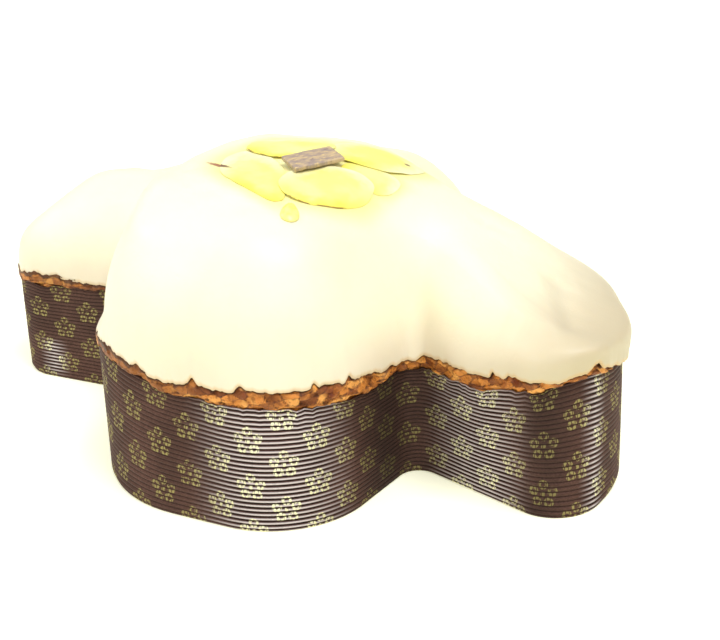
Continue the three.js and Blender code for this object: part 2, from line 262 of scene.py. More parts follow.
def spline_weights(part):
    return (
        (1 - part) ** 3 / 6,
        (3 * part**3 - 6 * part**2 + 4) / 6,
        (-3 * part**3 + 3 * part**2 + 3 * part + 1) / 6,
        part**3 / 6,
    )


NOISE_CELLS = 32


def noise(points, size, seed):
    """Smooth noise from -1 to 1 whose bumps are about size millimetres wide."""
    cells = np.random.default_rng(seed).uniform(-1, 1, (NOISE_CELLS,) * 3)
    place = np.asarray(points) / size
    low = np.floor(place).astype(int)
    part = place - low
    part = part**3 * (part * (part * 6 - 15) + 10)
    total = np.zeros(place.shape[:-1])
    for corner in itertools.product((0, 1), repeat=3):
        index = (low + corner) % NOISE_CELLS
        weight = np.prod(np.where(corner, part, 1 - part), axis=-1)
        total += weight * cells[index[..., 0], index[..., 1], index[..., 2]]
    return total


def octaves(points, size, count, seed, fall=0.5):
    return sum(
        fall**step * noise(points, size / 2**step, seed + step) for step in range(count)
    )


LUMP_SIZE = 26
LUMP_HEIGHT = 1.0

# Folds in the icing at the tail: plan start and end, depth and width.
FOLDS = (((112, -8), (134, -44), 2.0, 5.0), ((75, 1), (80, 5), 0.9, 4.0))


def lumps(x, y):
    """Soft unevenness and folds of the icing, as a change of height."""
    places = np.stack([x, y, np.zeros_like(x)], -1)
    height = LUMP_HEIGHT * octaves(places, LUMP_SIZE, 3, SEED + 5, fall=0.42)
    for start, end, depth, width in FOLDS:
        apart = distance_to_segments(x, y, np.array([start], float), np.array([end], float))
        height -= depth * np.exp(-(apart / width) ** 2)
    return height


dome_height = DomeGrid()


def middle_of(node):
    """Middle of a CAD node's box, in millimetres."""
    low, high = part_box(node)
    return (np.array(low) + np.array(high)) / 2 / MM


# From the plan here to the CAD's frame: both outlines have the same box.
PLAN_MIDDLE = (DISTANCE_LINE.min(0) + DISTANCE_LINE.max(0)) / 2
SHIFT = np.append(middle_of("paper_case")[:2] - PLAN_MIDDLE, 0)


def in_frame(points):
    """Plan millimetres to metres in the CAD's frame."""
    return (np.asarray(points) + SHIFT) * MM


def add_object(name, data):
    made = bpy.data.objects.new(name, data)
    bpy.context.scene.collection.objects.link(made)
    return made


def finish_mesh(name, points, faces, material):
    mesh = bpy.data.meshes.new(name)
    mesh.from_pydata(in_frame(points).tolist(), [], faces)
    mesh.polygons.foreach_set("use_smooth", np.ones(len(mesh.polygons), bool))
    mesh.materials.append(material)
    mesh.update()
    return add_object(name, mesh)


def skin_faces(row_count, count):
    """Faces of a closed skin: a start pole, rows of columns and an end pole."""
    here = np.arange(count)
    after = (here + 1) % count
    end = 1 + row_count * count
    faces = [(0, 1 + b, 1 + a) for a, b in zip(here.tolist(), after.tolist())]
    for row in range(row_count - 1):
        low, high = 1 + row * count, 1 + (row + 1) * count
        quads = np.stack([low + here, low + after, high + after, high + here], 1)
        faces.extend(map(tuple, quads.tolist()))
    last = 1 + (row_count - 1) * count
    faces.extend((last + a, last + b, end) for a, b in zip(here.tolist(), after.tolist()))
    return faces


def skin(name, start_pole, rows, end_pole, material):
    count = len(rows[0])
    points = np.vstack([[start_pole], *rows, [end_pole]])
    return finish_mesh(name, points, skin_faces(len(rows), count), material)


def loop_vertices(mesh):
    """Index of the vertex at each corner of each face."""
    loops = np.empty(len(mesh.loops), int)
    mesh.loops.foreach_get("vertex_index", loops)
    return loops


def set_uv(mesh, layer, values):
    mesh.uv_layers.new(name=layer).data.foreach_set("uv", values.astype(np.float32).ravel())


def give_uv(piece, layer, row_values, column_values, wrap):
    """UV of a skin: column value across and row value up, unbroken over the last column."""
    up = np.ravel(row_values).astype(float)
    ring = np.clip(loop_vertices(piece.data) - 1, 0, len(up) - 1)
    across = np.asarray(column_values, float)[ring % len(column_values)]
    starts, totals = (np.empty(len(piece.data.polygons), int) for _ in range(2))
    piece.data.polygons.foreach_get("loop_start", starts)
    piece.data.polygons.foreach_get("loop_total", totals)
    widest = np.repeat(np.maximum.reduceat(across, starts), totals)
    across = np.where(widest - across > wrap / 2, across + wrap, across)
    set_uv(piece.data, layer, np.stack([across, up[ring]], 1))


# Materials.


def rgb(red, green, blue):
    """Linear colour of an sRGB colour from 0 to 255."""
    linear = [
        c / 12.92 if c <= 0.04045 else ((c + 0.055) / 1.055) ** 2.4
        for c in (red / 255, green / 255, blue / 255)
    ]
    return (*linear, 1.0)


class Nodes:
    """Builds a material's or the world's nodes. An input takes a value or a node's output."""

    def __init__(self, owner):
        owner.use_nodes = True
        self.owner, self.tree = owner, owner.node_tree

    def put(self, socket, value):
        if isinstance(value, bpy.types.NodeSocket):
            self.tree.links.new(value, socket)
        else:
            socket.default_value = value

    def add(self, kind, inputs=(), **settings):
        made = self.tree.nodes.new(kind)
        for key, value in settings.items():
            setattr(made, key, value)
        for key, value in dict(inputs).items():
            self.put(made.inputs[key], value)
        return made

    def finish(self, shader="Principled BSDF", **inputs):
        """Sets the last shader's inputs and gives back the material or world."""
        for key, value in inputs.items():
            self.put(self.tree.nodes[shader].inputs[key.replace("_", " ")], value)
        return self.owner

    def place(self):
        return self.add("ShaderNodeTexCoord").outputs["Object"]

    def split(self, vector):
        return self.add("ShaderNodeSeparateXYZ", {0: vector}).outputs

    def uv(self, layer):
        """The column's and the row's value in a UV layer."""
        across, up, _ = self.split(self.add("ShaderNodeUVMap", uv_map=layer).outputs["UV"])
        return across, up

    def stretched(self, place, *scale):
        return self.add("ShaderNodeMapping", {"Vector": place, "Scale": scale}).outputs[0]

    def noise(self, place, size, detail=3.0, roughness=0.5, distortion=0.0):
        """Noise from 0 to 1 whose bumps are about size millimetres wide."""
        inputs = {
            "Vector": place, "Scale": 1 / (size * MM), "Detail": detail,
            "Roughness": roughness, "Distortion": distortion,
        }
        return self.add("ShaderNodeTexNoise", inputs).outputs["Fac"]

    def math(self, operation, *values):
        return self.add("ShaderNodeMath", enumerate(values), operation=operation).outputs[0]

    def plus(self, first, second):
        return self.math("ADD", first, second)

    def minus(self, first, second):
        return self.math("SUBTRACT", first, second)

    def times(self, first, second):
        return self.math("MULTIPLY", first, second)

    def length(self, across, up):
        """Length of a vector of two parts."""
        return self.math("SQRT", self.plus(self.times(across, across), self.times(up, up)))

    def wrapped(self, value, period, shift):
        """Value plus shift, counted from the middle of the period that it falls in."""
        moved = self.plus(value, shift)
        return self.minus(self.math("FLOORED_MODULO", moved, period), period / 2)

    def smooth(self, value, low, high, to_low=0.0, to_high=1.0):
        """Smooth step from to_low to to_high as the value goes from low to high, either way."""
        inputs = {"Value": value, 1: low, 2: high, 3: to_low, 4: to_high}
        made = self.add("ShaderNodeMapRange", inputs, interpolation_type="SMOOTHSTEP")
        return made.outputs["Result"]

    def within(self, offset, half, soft):
        """1 where an offset is less than half either way, with a soft end."""
        return self.smooth(self.math("ABSOLUTE", offset), half + soft, half - soft)

    def mix(self, factor, first, second):
        made = self.add("ShaderNodeMix", data_type="RGBA")
        for index, value in ((0, factor), (6, first), (7, second)):
            self.put(made.inputs[index], value)
        return made.outputs[2]

    def toned(self, cloud, span, tones):
        """Two tones of one colour, mixed by a cloud over a span of its values."""
        return self.mix(self.smooth(cloud, *span), *tones)

    def laid(self, colour, masks, tints):
        """Tints laid over a colour: the mask's name, its span if any, a strength and the tint."""
        for name, span, strength, tint in tints:
            if name in masks:
                mask = self.smooth(masks[name], *span) if span else masks[name]
                colour = self.mix(self.times(mask, strength), colour, tint)
        return colour

    def laid_along(self, colour, u, stretches, tint):
        """A tint laid on stretches of wall: middle, half length, softness and strength."""
        for middle, half, soft, strength in stretches:
            mask = self.times(self.within(self.minus(u, middle), half, soft), strength)
            colour = self.mix(mask, colour, tint)
        return colour

    def bump(self, height, distance, strength, normal=None):
        inputs = {"Height": height, "Distance": distance * MM, "Strength": strength}
        if normal is not None:
            inputs["Normal"] = normal
        return self.add("ShaderNodeBump", inputs).outputs["Normal"]


def new_material(name):
    return Nodes(bpy.data.materials.new(name))


# Brown streak on the icing and dark dot on a petal: plan x and y, angle, half length and width.
STREAK = ((-22, -40.5), -20, 9, 1.3)
DOT = ((38.2, 6.5), 65, 1.5, 1.1)
PETAL_MARKS = {"petal_left": STREAK, "petal_back_right": DOT}


def brown_mark(nodes, place, mark):
    """Mask of a small smudged oval at one place of the plan."""
    (x, y), angle, half_length, half_width = mark
    turn = math.radians(angle)
    across, up, _ = nodes.split(place)
    dx = nodes.minus(across, (x + SHIFT[0]) * MM)
    dy = nodes.minus(up, (y + SHIFT[1]) * MM)

    def along(cosine, sine, reach):
        total = nodes.plus(nodes.times(dx, cosine), nodes.times(dy, sine))
        return nodes.math("DIVIDE", total, reach * MM)

    u = along(math.cos(turn), math.sin(turn), half_length)
    v = along(-math.sin(turn), math.cos(turn), half_width)
    rough = nodes.times(nodes.noise(place, 1.5), 0.9)
    return nodes.smooth(nodes.plus(nodes.length(u, v), rough), 1.6, 0.9)


# A span is the value where a mask or mix starts and the one where it is full.
CLOUD_SPAN = (0.35, 0.65)

# Icing. Its "coat" layer holds the height over the lip, and "haze" the nearness of the petals.
ICING_SPAN = (0.35, 0.7)
ICING_HIGH = (rgb(238, 231, 202), rgb(235, 226, 194))
# Painted shade: darker, creamier tones low on the sides, and the heights over the lip where they
# start and are full.
ICING_SHADED_LOW = (rgb(229, 218, 196), rgb(224, 211, 188))
SHADED_LOW_SPAN = (30, 2)
# Painted shade on the tail's low end: where it starts and is full along X in metres, then the
# heights over the lip where it is gone and where it is full.
TAIL_SHADE_ALONG, TAIL_SHADE_OVER = (0.07, 0.15), (42, 12)
ICING_TINTS = (
    # painted shade on the tail's low end
    ("tail", None, 0.9, rgb(190, 176, 144)),
    ("over", (2.4, 0.3), 0.6, rgb(206, 168, 108)),
    ("haze", None, 0.8, rgb(240, 232, 136)),
    ("streak", None, 1.0, rgb(160, 108, 76)),
)


def icing_material():
    """Ivory icing with painted shade, creamier low on the sides and darker at the tail, yellow
    round the petals.
    """
    nodes = new_material("icing")
    place = nodes.place()
    over = nodes.uv("coat")[1]
    # Painted shade towards the tail's end, low over the lip.
    tail = nodes.smooth(nodes.split(place)[0], *TAIL_SHADE_ALONG)
    masks = {
        "over": over, "tail": nodes.times(tail, nodes.smooth(over, *TAIL_SHADE_OVER)),
        "haze": nodes.uv("haze")[1], "streak": brown_mark(nodes, place, STREAK),
    }
    cloud = nodes.noise(place, 45, detail=2)
    high, low = (nodes.toned(cloud, ICING_SPAN, tones) for tones in (ICING_HIGH, ICING_SHADED_LOW))
    # Painted shade: the darker tones take over low on the sides.
    colour = nodes.mix(nodes.smooth(over, *SHADED_LOW_SPAN), high, low)
    grain = nodes.noise(place, 2.2, detail=5, roughness=0.6)
    pits = nodes.smooth(nodes.noise(place, 5, detail=4), 0.3, 0.45)
    return nodes.finish(
        Base_Color=nodes.laid(colour, masks, ICING_TINTS),
        Roughness=nodes.smooth(cloud, 0.2, 0.8, 0.38, 0.5), Specular_IOR_Level=0.4,
        Subsurface_Weight=0.25, Subsurface_Radius=(1.0, 0.75, 0.5), Subsurface_Scale=3 * MM,
        Normal=nodes.bump(pits, 0.12, 0.35, nodes.bump(grain, 0.12, 0.5)),
    )


# Crust. Its layers hold the height under the icing's lip, and each flake's tone and border.
CRUST_SPAN, CRUST_TONES = (0.05, 0.6), (rgb(124, 66, 24), rgb(204, 128, 54))
CRUST_TINTS = (
    ("tone", (0.6, 1.0), 1.0, rgb(232, 164, 84)),
    ("crumb", (0.5, 0.36), 0.55, rgb(110, 58, 20)),
    ("border", (0.16, 0.02), 0.8, rgb(74, 36, 14)),
    ("red", (0.58, 0.68), 0.55, rgb(116, 44, 18)),
)
# Browner stretches, at the head and the front wing's head side.
BROWNER_STRETCHES, BROWNER = ((52, 32, 14, 0.4), (192, 22, 14, 0.5)), rgb(104, 58, 20)
# Painted shade: a dark line on the crust just under the icing's lip, set by the height under its
# edge.
UNDER_LIP_SHADE_TINTS = (("band", (-1.2, -0.2), 0.85, rgb(62, 32, 14)),)


def crust_material():
    """Torn golden crust: flakes in several tones with dark cracks, and painted shade just under
    the icing's lip.
    """
    nodes = new_material("crust")
    place = nodes.place()
    u, band = nodes.uv("band")
    patch = nodes.noise(place, 9, detail=2, roughness=0.55, distortion=0.6)
    masks = {
        "tone": nodes.plus(nodes.uv("tone")[1], nodes.times(nodes.minus(patch, 0.5), 1.4)),
        "crumb": nodes.noise(place, 1.8, detail=4, roughness=0.6),
        "border": nodes.uv("border")[1], "red": nodes.noise(place, 13, detail=2), "band": band,
    }
    colour = nodes.toned(masks["tone"], CRUST_SPAN, CRUST_TONES)
    colour = nodes.laid(colour, masks, CRUST_TINTS)
    colour = nodes.laid_along(colour, u, BROWNER_STRETCHES, BROWNER)
    return nodes.finish(
        # painted shade just under the icing's lip
        Base_Color=nodes.laid(colour, masks, UNDER_LIP_SHADE_TINTS), Roughness=0.5,
        Specular_IOR_Level=0.3, Normal=nodes.bump(masks["crumb"], 0.9, 0.9),
    )


# Paper. Its "wall" layer holds the arc length and the ribs counted from the foot.
RIB_PITCH = 1.926
# Height over which the printed flowers repeat; the width is near PRINT_WIDTH.
PRINT_HEIGHT = 19.5
# Printed flowers: from the middle to a petal's, the petal's radius and half width of its line,
# and where the dot in the middle fades out and is full.
PRINT_RING, PRINT_RADIUS, PRINT_BAND = 3.95, 1.4, 0.7
MIDDLE_DOT = (1.05, 0.75)
# The print is broken into beads along each rib, set off from rib to rib by that turn, and worn.
BEAD_PITCH, BEAD_TURN = 1.45, 2.4
BEAD_SPAN, WORN_SPAN = (-0.95, -0.5), (0.34, 0.46)
# The ridge mask is 1 on a rib and 0 between ribs: its spans for the painted shade in the
# grooves, for the print and for the painted glints on lit paper.
GROOVE_SHADE_SPAN, PRINTED_SPAN, LIT_SPAN = (0.55, 0.25), (0.25, 0.55), (0.68, 1.0)

PAPER_TONES = (rgb(84, 59, 51), rgb(102, 73, 64))
# The print's own olive, and its pale cream painted highlight on the glossier stretches.
PRINT_UNLIT_AND_LIT = (rgb(152, 140, 88), rgb(240, 236, 192))
PAPER_TINTS = (
    ("fibre", (0.3, 0.8), 1.0, rgb(62, 44, 38)),
    # painted glints on the ribs of the glossier stretches
    ("lit", None, 0.85, rgb(212, 202, 204)),
    # painted shade in the grooves between ribs
    ("groove_shade", None, 1.0, rgb(20, 14, 12)),
)
# Stretches of wall whose paper is glossier, with painted glints on its ribs and a painted
# highlight on its print: arc length at the middle, half length, softness of the ends and the
# lowest and highest rib.
GLOSSY_AND_LIT = ((32, 4, 5, 1, 11), (246, 22, 16, -9, 99), (350, 17, 13, -9, 99), (403, 3, 5, -9, 99))
# Painted shade on stretches of wall, in the fold between wing and tail and at the tail.
SHADED_STRETCHES, PAINTED_SHADE = ((303, 16, 16, 0.7), (382, 7, 7, 0.4)), rgb(32, 25, 21)


def printed_flowers(nodes, u, v, width):
    """Mask of a printed lattice of small five-petal flowers, each petal drawn as a ring."""
    half_width, half_height = width / 2, PRINT_HEIGHT / 2
    first = [nodes.wrapped(u, width, 0), nodes.wrapped(v, PRINT_HEIGHT, 0)]
    second = [nodes.wrapped(u, width, half_width), nodes.wrapped(v, PRINT_HEIGHT, half_height)]
    reach = [nodes.length(*pair) for pair in (first, second)]
    nearer = nodes.math("LESS_THAN", reach[1], reach[0])
    across, up = (
        nodes.plus(a, nodes.times(nodes.minus(b, a), nearer)) for a, b in zip(first, second)
    )
    radius = nodes.math("MINIMUM", *reach)
    sector = 2 * math.pi / 5
    folded = nodes.wrapped(nodes.math("ARCTAN2", across, up), sector, sector / 2)
    along = nodes.minus(nodes.times(radius, nodes.math("COSINE", folded)), PRINT_RING)
    aside = nodes.times(radius, nodes.math("SINE", folded))
    from_ring = nodes.math("ABSOLUTE", nodes.minus(nodes.length(along, aside), PRINT_RADIUS))
    ring = nodes.smooth(from_ring, PRINT_BAND, PRINT_BAND * 0.6)
    return nodes.math("MAXIMUM", ring, nodes.smooth(radius, *MIDDLE_DOT))


def print_mask(nodes, place, u, ribs, ridge, width):
    """Mask of the print: flowers in worn beads that lie on the ribs alone."""
    along = nodes.times(u, 2 * math.pi / BEAD_PITCH)
    beads = nodes.plus(along, nodes.times(nodes.math("ROUND", ribs), BEAD_TURN))
    mask = printed_flowers(nodes, u, nodes.times(ribs, RIB_PITCH), width)
    for part in (
        nodes.smooth(nodes.math("SINE", beads), *BEAD_SPAN),
        nodes.smooth(ridge, *PRINTED_SPAN),
        nodes.smooth(nodes.noise(place, 1.6, detail=4), *WORN_SPAN),
    ):
        mask = nodes.times(mask, part)
    return mask


def gloss_and_glint_mask(nodes, u, ribs):
    """1 on the glossier stretches of the wall, which take painted glints and a painted highlight.
    """
    total = 0.0
    for middle, half, soft, low, high in GLOSSY_AND_LIT:
        across = nodes.within(nodes.minus(u, middle), half, soft)
        level = nodes.times(
            nodes.smooth(ribs, low - 1, low + 2), nodes.smooth(ribs, high + 1, high - 2))
        total = nodes.math("MAXIMUM", total, nodes.times(across, level))
    return total


def paper_material(width):
    """Plum-brown ribbed paper, pale gold flowers, glossier stretches, painted glints and shade."""
    nodes = new_material("paper_case")
    place = nodes.place()
    u, ribs = nodes.uv("wall")
    ridge = nodes.math("ABSOLUTE", nodes.math("COSINE", nodes.times(ribs, math.pi)))
    printed = print_mask(nodes, place, u, ribs, ridge, width)
    glossy_and_lit = gloss_and_glint_mask(nodes, u, ribs)
    # How dark the painted shade in the grooves is: deeper on the glossier stretches.
    depth = nodes.smooth(glossy_and_lit, 0, 1, 0.4, 0.95)
    masks = {
        "fibre": nodes.noise(nodes.stretched(place, 1, 1, 4), 0.9, detail=5),
        "lit": nodes.times(glossy_and_lit, nodes.smooth(ridge, *LIT_SPAN)),
        # painted shade in the grooves
        "groove_shade": nodes.times(nodes.smooth(ridge, *GROOVE_SHADE_SPAN), depth),
    }
    cloud = nodes.noise(place, 24)
    colour = nodes.laid(nodes.toned(cloud, CLOUD_SPAN, PAPER_TONES), masks, PAPER_TINTS)
    # The print takes its painted highlight on the glossier stretches.
    colour = nodes.mix(printed, colour, nodes.mix(glossy_and_lit, *PRINT_UNLIT_AND_LIT))
    matte = nodes.smooth(cloud, 0.2, 0.8, 0.5, 0.62)
    return nodes.finish(
        # painted shade on stretches of wall
        Base_Color=nodes.laid_along(colour, u, SHADED_STRETCHES, PAINTED_SHADE),
        Roughness=nodes.minus(matte, nodes.times(glossy_and_lit, 0.28)),
        Metallic=nodes.times(nodes.math("MAXIMUM", masks["lit"], printed), 0.4),
        Specular_IOR_Level=0.1, Normal=nodes.bump(masks["fibre"], 0.08, 0.4),
    )


# Petals. The "petal" layer holds the turn round the petal and the share of the way to its edge.
PETAL_TONES = (rgb(238, 232, 146), rgb(238, 230, 122))
PETAL_TINTS = (
    ("deep", None, 0.8, rgb(238, 224, 60)),
    ("faded", None, 1.0, rgb(242, 236, 186)),
    ("marked", None, 1.0, rgb(120, 88, 56)),
    ("brown_line", None, 1.0, rgb(150, 118, 44)),
)


def arc_mask(nodes, turn, arc, soft):
    """1 where the turn round a petal is within an arc, which may cross zero."""
    start, end = arc
    offset = nodes.wrapped(nodes.minus(turn, (start + end) / 2), 1.0, 0.5)
    return nodes.within(offset, (end - start) / 2, soft)


def yellow_material(name, brown_line, deep, fading, mark):
    """Sugar petal: paler in the middle, with deep yellow, brown-lined and fading stretches of
    edge.
    """
    nodes = new_material(name)
    place = nodes.place()
    turn, share = nodes.uv("petal")
    uneven = nodes.times(nodes.minus(nodes.noise(place, 5), 0.5), 0.5)
    outer = nodes.smooth(nodes.plus(share, uneven), 0.5, 1.0)
    masks = {
        "deep": nodes.times(outer, arc_mask(nodes, turn, deep, 0.15)),
        "faded": nodes.times(outer, arc_mask(nodes, turn, fading, 0.1)),
    }
    if mark:
        masks["marked"] = brown_mark(nodes, place, mark)
    if brown_line:
        broken = nodes.smooth(nodes.noise(place, 5), 0.4, 0.52)
        line = nodes.times(nodes.smooth(share, 0.945, 0.985), broken)
        masks["brown_line"] = nodes.times(line, arc_mask(nodes, turn, brown_line, 0.02))
    colour = nodes.toned(nodes.noise(place, 14), CLOUD_SPAN, PETAL_TONES)
    return nodes.finish(
        Base_Color=nodes.laid(colour, masks, PETAL_TINTS), Roughness=0.5,
        Subsurface_Weight=0.08, Subsurface_Radius=(1.0, 0.95, 0.6), Subsurface_Scale=4 * MM,
        Normal=nodes.bump(nodes.noise(place, 1.2, detail=4), 0.08, 0.5),
    )


DROP_TONES = (rgb(238, 229, 138), rgb(238, 224, 100))


def drop_material():
    nodes = new_material("yellow_drop")
    place = nodes.place()
    return nodes.finish(
        Base_Color=nodes.toned(nodes.noise(place, 5), CLOUD_SPAN, DROP_TONES),
        Roughness=0.3, Subsurface_Weight=0.3,
        Subsurface_Radius=(1.0, 0.9, 0.3), Subsurface_Scale=2 * MM,
        Normal=nodes.bump(nodes.noise(place, 2, detail=2), 0.05, 0.4),
    )


CHOCOLATE_TONES = (rgb(150, 132, 120), rgb(184, 160, 124))
CHOCOLATE_TINTS = (
    ("fleck", (0.56, 0.7), 1.0, rgb(208, 182, 124)),
    ("fleck", (0.42, 0.3), 1.0, rgb(120, 98, 96)),
)


def plaque_material():
    """Chocolate with marbling along the tablet. Its UV layer is in millimetres, not metres."""
    nodes = new_material("plaque")
    uv = nodes.add("ShaderNodeUVMap", uv_map="plaque").outputs["UV"]
    grain = nodes.noise(nodes.stretched(uv, 0.45, 1, 1), 2.5 / MM, detail=4, roughness=0.6)
    masks = {"fleck": nodes.noise(nodes.stretched(uv, 0.35, 1, 1), 1.1 / MM)}
    colour = nodes.toned(grain, (0.4, 0.6), CHOCOLATE_TONES)
    return nodes.finish(
        Base_Color=nodes.laid(colour, masks, CHOCOLATE_TINTS), Roughness=0.4,
        Normal=nodes.bump(nodes.noise(nodes.place(), 0.8, detail=4), 0.08, 0.5),
    )


FLOOR_TONES = ((0.95, 0.95, 0.83, 1), (0.94, 0.94, 0.82, 1))


def floor_material():
    nodes = new_material("floor")
    return nodes.finish(
        Base_Color=nodes.mix(nodes.noise(nodes.place(), 300, detail=2), *FLOOR_TONES),
        Roughness=0.8, Emission_Color=(1, 1, 0.6, 1), Emission_Strength=0.3,
    )


# Paper case.
PAPER_COLUMNS = 560
PAPER_RIBS = 27
ROWS_PER_RIB = 6
RIB_DEPTH = 0.7
RIB_ROUND = 0.8
PAPER_WALL = 0.7
PRINT_WIDTH = 26.0
SWAY_DEPTH, SWAY_SIZE = 0.5, 40
FOOT_TUCK = 0.8
PAPER_INSET, PAPER_BOTTOM, PAPER_LIP = -1.2, 1.2, 1.5

# Dips of the paper's rim, where crust hangs over it, and how soon they fade down the wall.
DIP_DEPTH, DIP_LENGTH = 1.9, 8
DIP_POWER = 8


def rim_dips(outline):
    return -DIP_DEPTH * np.clip(outline.unevenness(DIP_LENGTH, 3, SEED + 37, fall=0.6), 0, 1)


def paper_case():
    """Ribbed wall up to its rim, then the inside of the wall and the bottom."""
    outline = Outline(PAPER_COLUMNS)
    sway = SWAY_DEPTH * outline.unevenness(SWAY_SIZE, 2, SEED + 31)
    ragged = rim_dips(outline)
    rows, ribs = [], []
    for level in np.linspace(0, 1, PAPER_RIBS * ROWS_PER_RIB + 1):
        rib = RIB_DEPTH * (abs(math.cos(math.pi * level * PAPER_RIBS)) ** RIB_ROUND - 1)
        belly = sway * math.sin(math.pi * level)
        tuck = -FOOT_TUCK * max(1 - level * PAPER_RIBS, 0) ** 2
        height = (outline.rim + ragged * level**DIP_POWER) * level
        rows.append(outline.ring(rib + belly + tuck, height))
        ribs.append(level * PAPER_RIBS)
    top = outline.rim + ragged
    rows.append(outline.ring(-PAPER_WALL - RIB_DEPTH / 2, top))
    rows.append(outline.ring(PAPER_INSET, top - PAPER_LIP))
    rows.append(outline.ring(PAPER_INSET, PAPER_BOTTOM))
    ribs += [PAPER_RIBS, PAPER_RIBS - 1, 1]
    start, end = np.append(RING_CENTRE, 0), np.append(RING_CENTRE, PAPER_BOTTOM)
    repeats = round(outline.total / PRINT_WIDTH)
    piece = skin("case_wall", start, rows, end, paper_material(outline.total / repeats))
    give_uv(piece, "wall", np.repeat(ribs, PAPER_COLUMNS), outline.arc, outline.total)
    return piece


# The icing's lower edge: its height over the rim is a level plus bumps, roughness and notches.
CRUST_BAND = 4.0
BAND_BUMPS = (
    (44, -100, 4.4, 26), (-8, -111, -1.6, 11), (88, -43, 1.6, 18), (132, -49, -2.2, 11),
    (62, -41, -1.2, 8), (141, -20, -3.2, 14), (-94, -31, -2.2, 9),
    (112, -46, 1.7, 18), (140, -36, 1.2, 10),
)
BAND_ROUGH = 8
BAND_LEAST, BAND_ROOM = 0.9, 1
# Notches in the edge, where crust shows higher: x, y, height, half width.
NOTCHES = (
    (-16, -111, 3.8, 3.4), (9, -111, 2.6, 1.7), (29, -109, 1.6, 2.4), (50, -93, 2.6, 1.3),
    (56, -79, 3.2, 2.3), (103, -47, 1.6, 1.6), (138, -40, 2.6, 2.8), (-129, -33, 1.0, 1.5),
    (76, -40, 1.4, 1.4),
)
NOTCH_REACH, NOTCH_POWER = 1.25, 0.8

# How far the icing bulges out over the paper.
BULGE = 1.6
BULGE_BUMPS = ((140, -30, 2.6, 34), (-52, -92, -1.2, 36), (-150, -20, -1.1, 40))


def band_height(outline):
    """How high over the rim the icing's ragged edge starts, for each column."""
    band = sum_of_bumps(CRUST_BAND, BAND_BUMPS, outline.x, outline.y)
    band += outline.unevenness(BAND_ROUGH, 4, SEED + 41, fall=0.68)
    for x, y, height, half_width in NOTCHES:
        apart = np.hypot(outline.x - x, outline.y - y) / half_width
        band += height * np.clip(NOTCH_REACH - apart, 0, 1) ** NOTCH_POWER
    return np.clip(band, BAND_LEAST, SIDE_HEIGHT - BAND_ROOM)


def bulge_of(outline):
    return sum_of_bumps(BULGE, BULGE_BUMPS, outline.x, outline.y)


# The dome's rows: where its shoulder ends, inward from the outline; by what share of it the bulge
# is gone; how soon the inner skins reach their depth; where the blurred dome takes over.
SHOULDER_END = 11.5
BULGE_GONE = 0.7
DEPTH_POWER = 0.12
TAKE_OVER = (2, 10)


def dome_rows(outline, depth, shoulder_rows, top_rows):
    """Rows of the dome from its shoulder to near the ring centre, some depth below its face."""
    width = shoulder_width(outline.x, outline.y)
    last_turn = np.arccos(1 - (SHOULDER_END + SIDE_STEP) / width)
    reach = bulge_of(outline) - SIDE_STEP
    rows = []
    for share in np.linspace(0, 1, shoulder_rows):
        inward = width * (1 - np.cos(last_turn * share)) - SIDE_STEP
        out = reach * (1 - smoothstep(share, 0, BULGE_GONE)) - depth * share**DEPTH_POWER
        plan = outline.points - outline.outward * (inward - out)[:, None]
        foot = outline.points - outline.outward * inward[:, None]
        steep = round_over_height(*foot.T, np.minimum((inward + SIDE_STEP) / width, 1))
        mixed = steep + smoothstep(inward, *TAKE_OVER) * (dome_height(*foot.T) - steep)
        rows.append(np.column_stack([plan, mixed - depth * share]))
    edge = rows[-1][:, :2]
    for share in np.linspace(1, 0, top_rows + 1)[1:-1]:
        stretch = np.array([share**RING_X_POWER, share])
        plan = (edge - RING_CENTRE) * stretch + RING_CENTRE
        rows.append(np.column_stack([plan, dome_height(*plan.T) - depth]))
    return rows


def pole(depth):
    return np.append(RING_CENTRE, dome_height(*RING_CENTRE) - depth)


# Where the icing leans in over the case: x, y, shift x, shift y, spread, start over the rim, rise.
LEANS = ((-54, -72, 9.0, 1.0, 20, 2, 15), (-156, 2, 3.5, 0.0, 22, 2, 12))


def leaned(points):
    """The icing's and cake's points, moved in where the icing leans in over the case."""
    x, y, height = points.T
    moved = points.copy()
    over = height - rim_height(x, y)
    for lean_x, lean_y, shift_x, shift_y, spread, start, rise in LEANS:
        share = nearness(x, y, lean_x, lean_y, spread) * smoothstep(over, start, start + rise)
        moved[:, :2] += np.outer(share, (shift_x, shift_y))
    return moved


# Torn flakes of the crust: size, how far each may stray from its place, and their relief.
FLAKE_LENGTH, FLAKE_HEIGHT = 5.4, 2.8
FLAKE_ROWS, FLAKE_ROWS_UNDER = 8, 2
FLAKE_STRAY = 0.45
FLAKE_RISE = (-0.55, 0.75)
FLAKE_SLOPE = 0.34


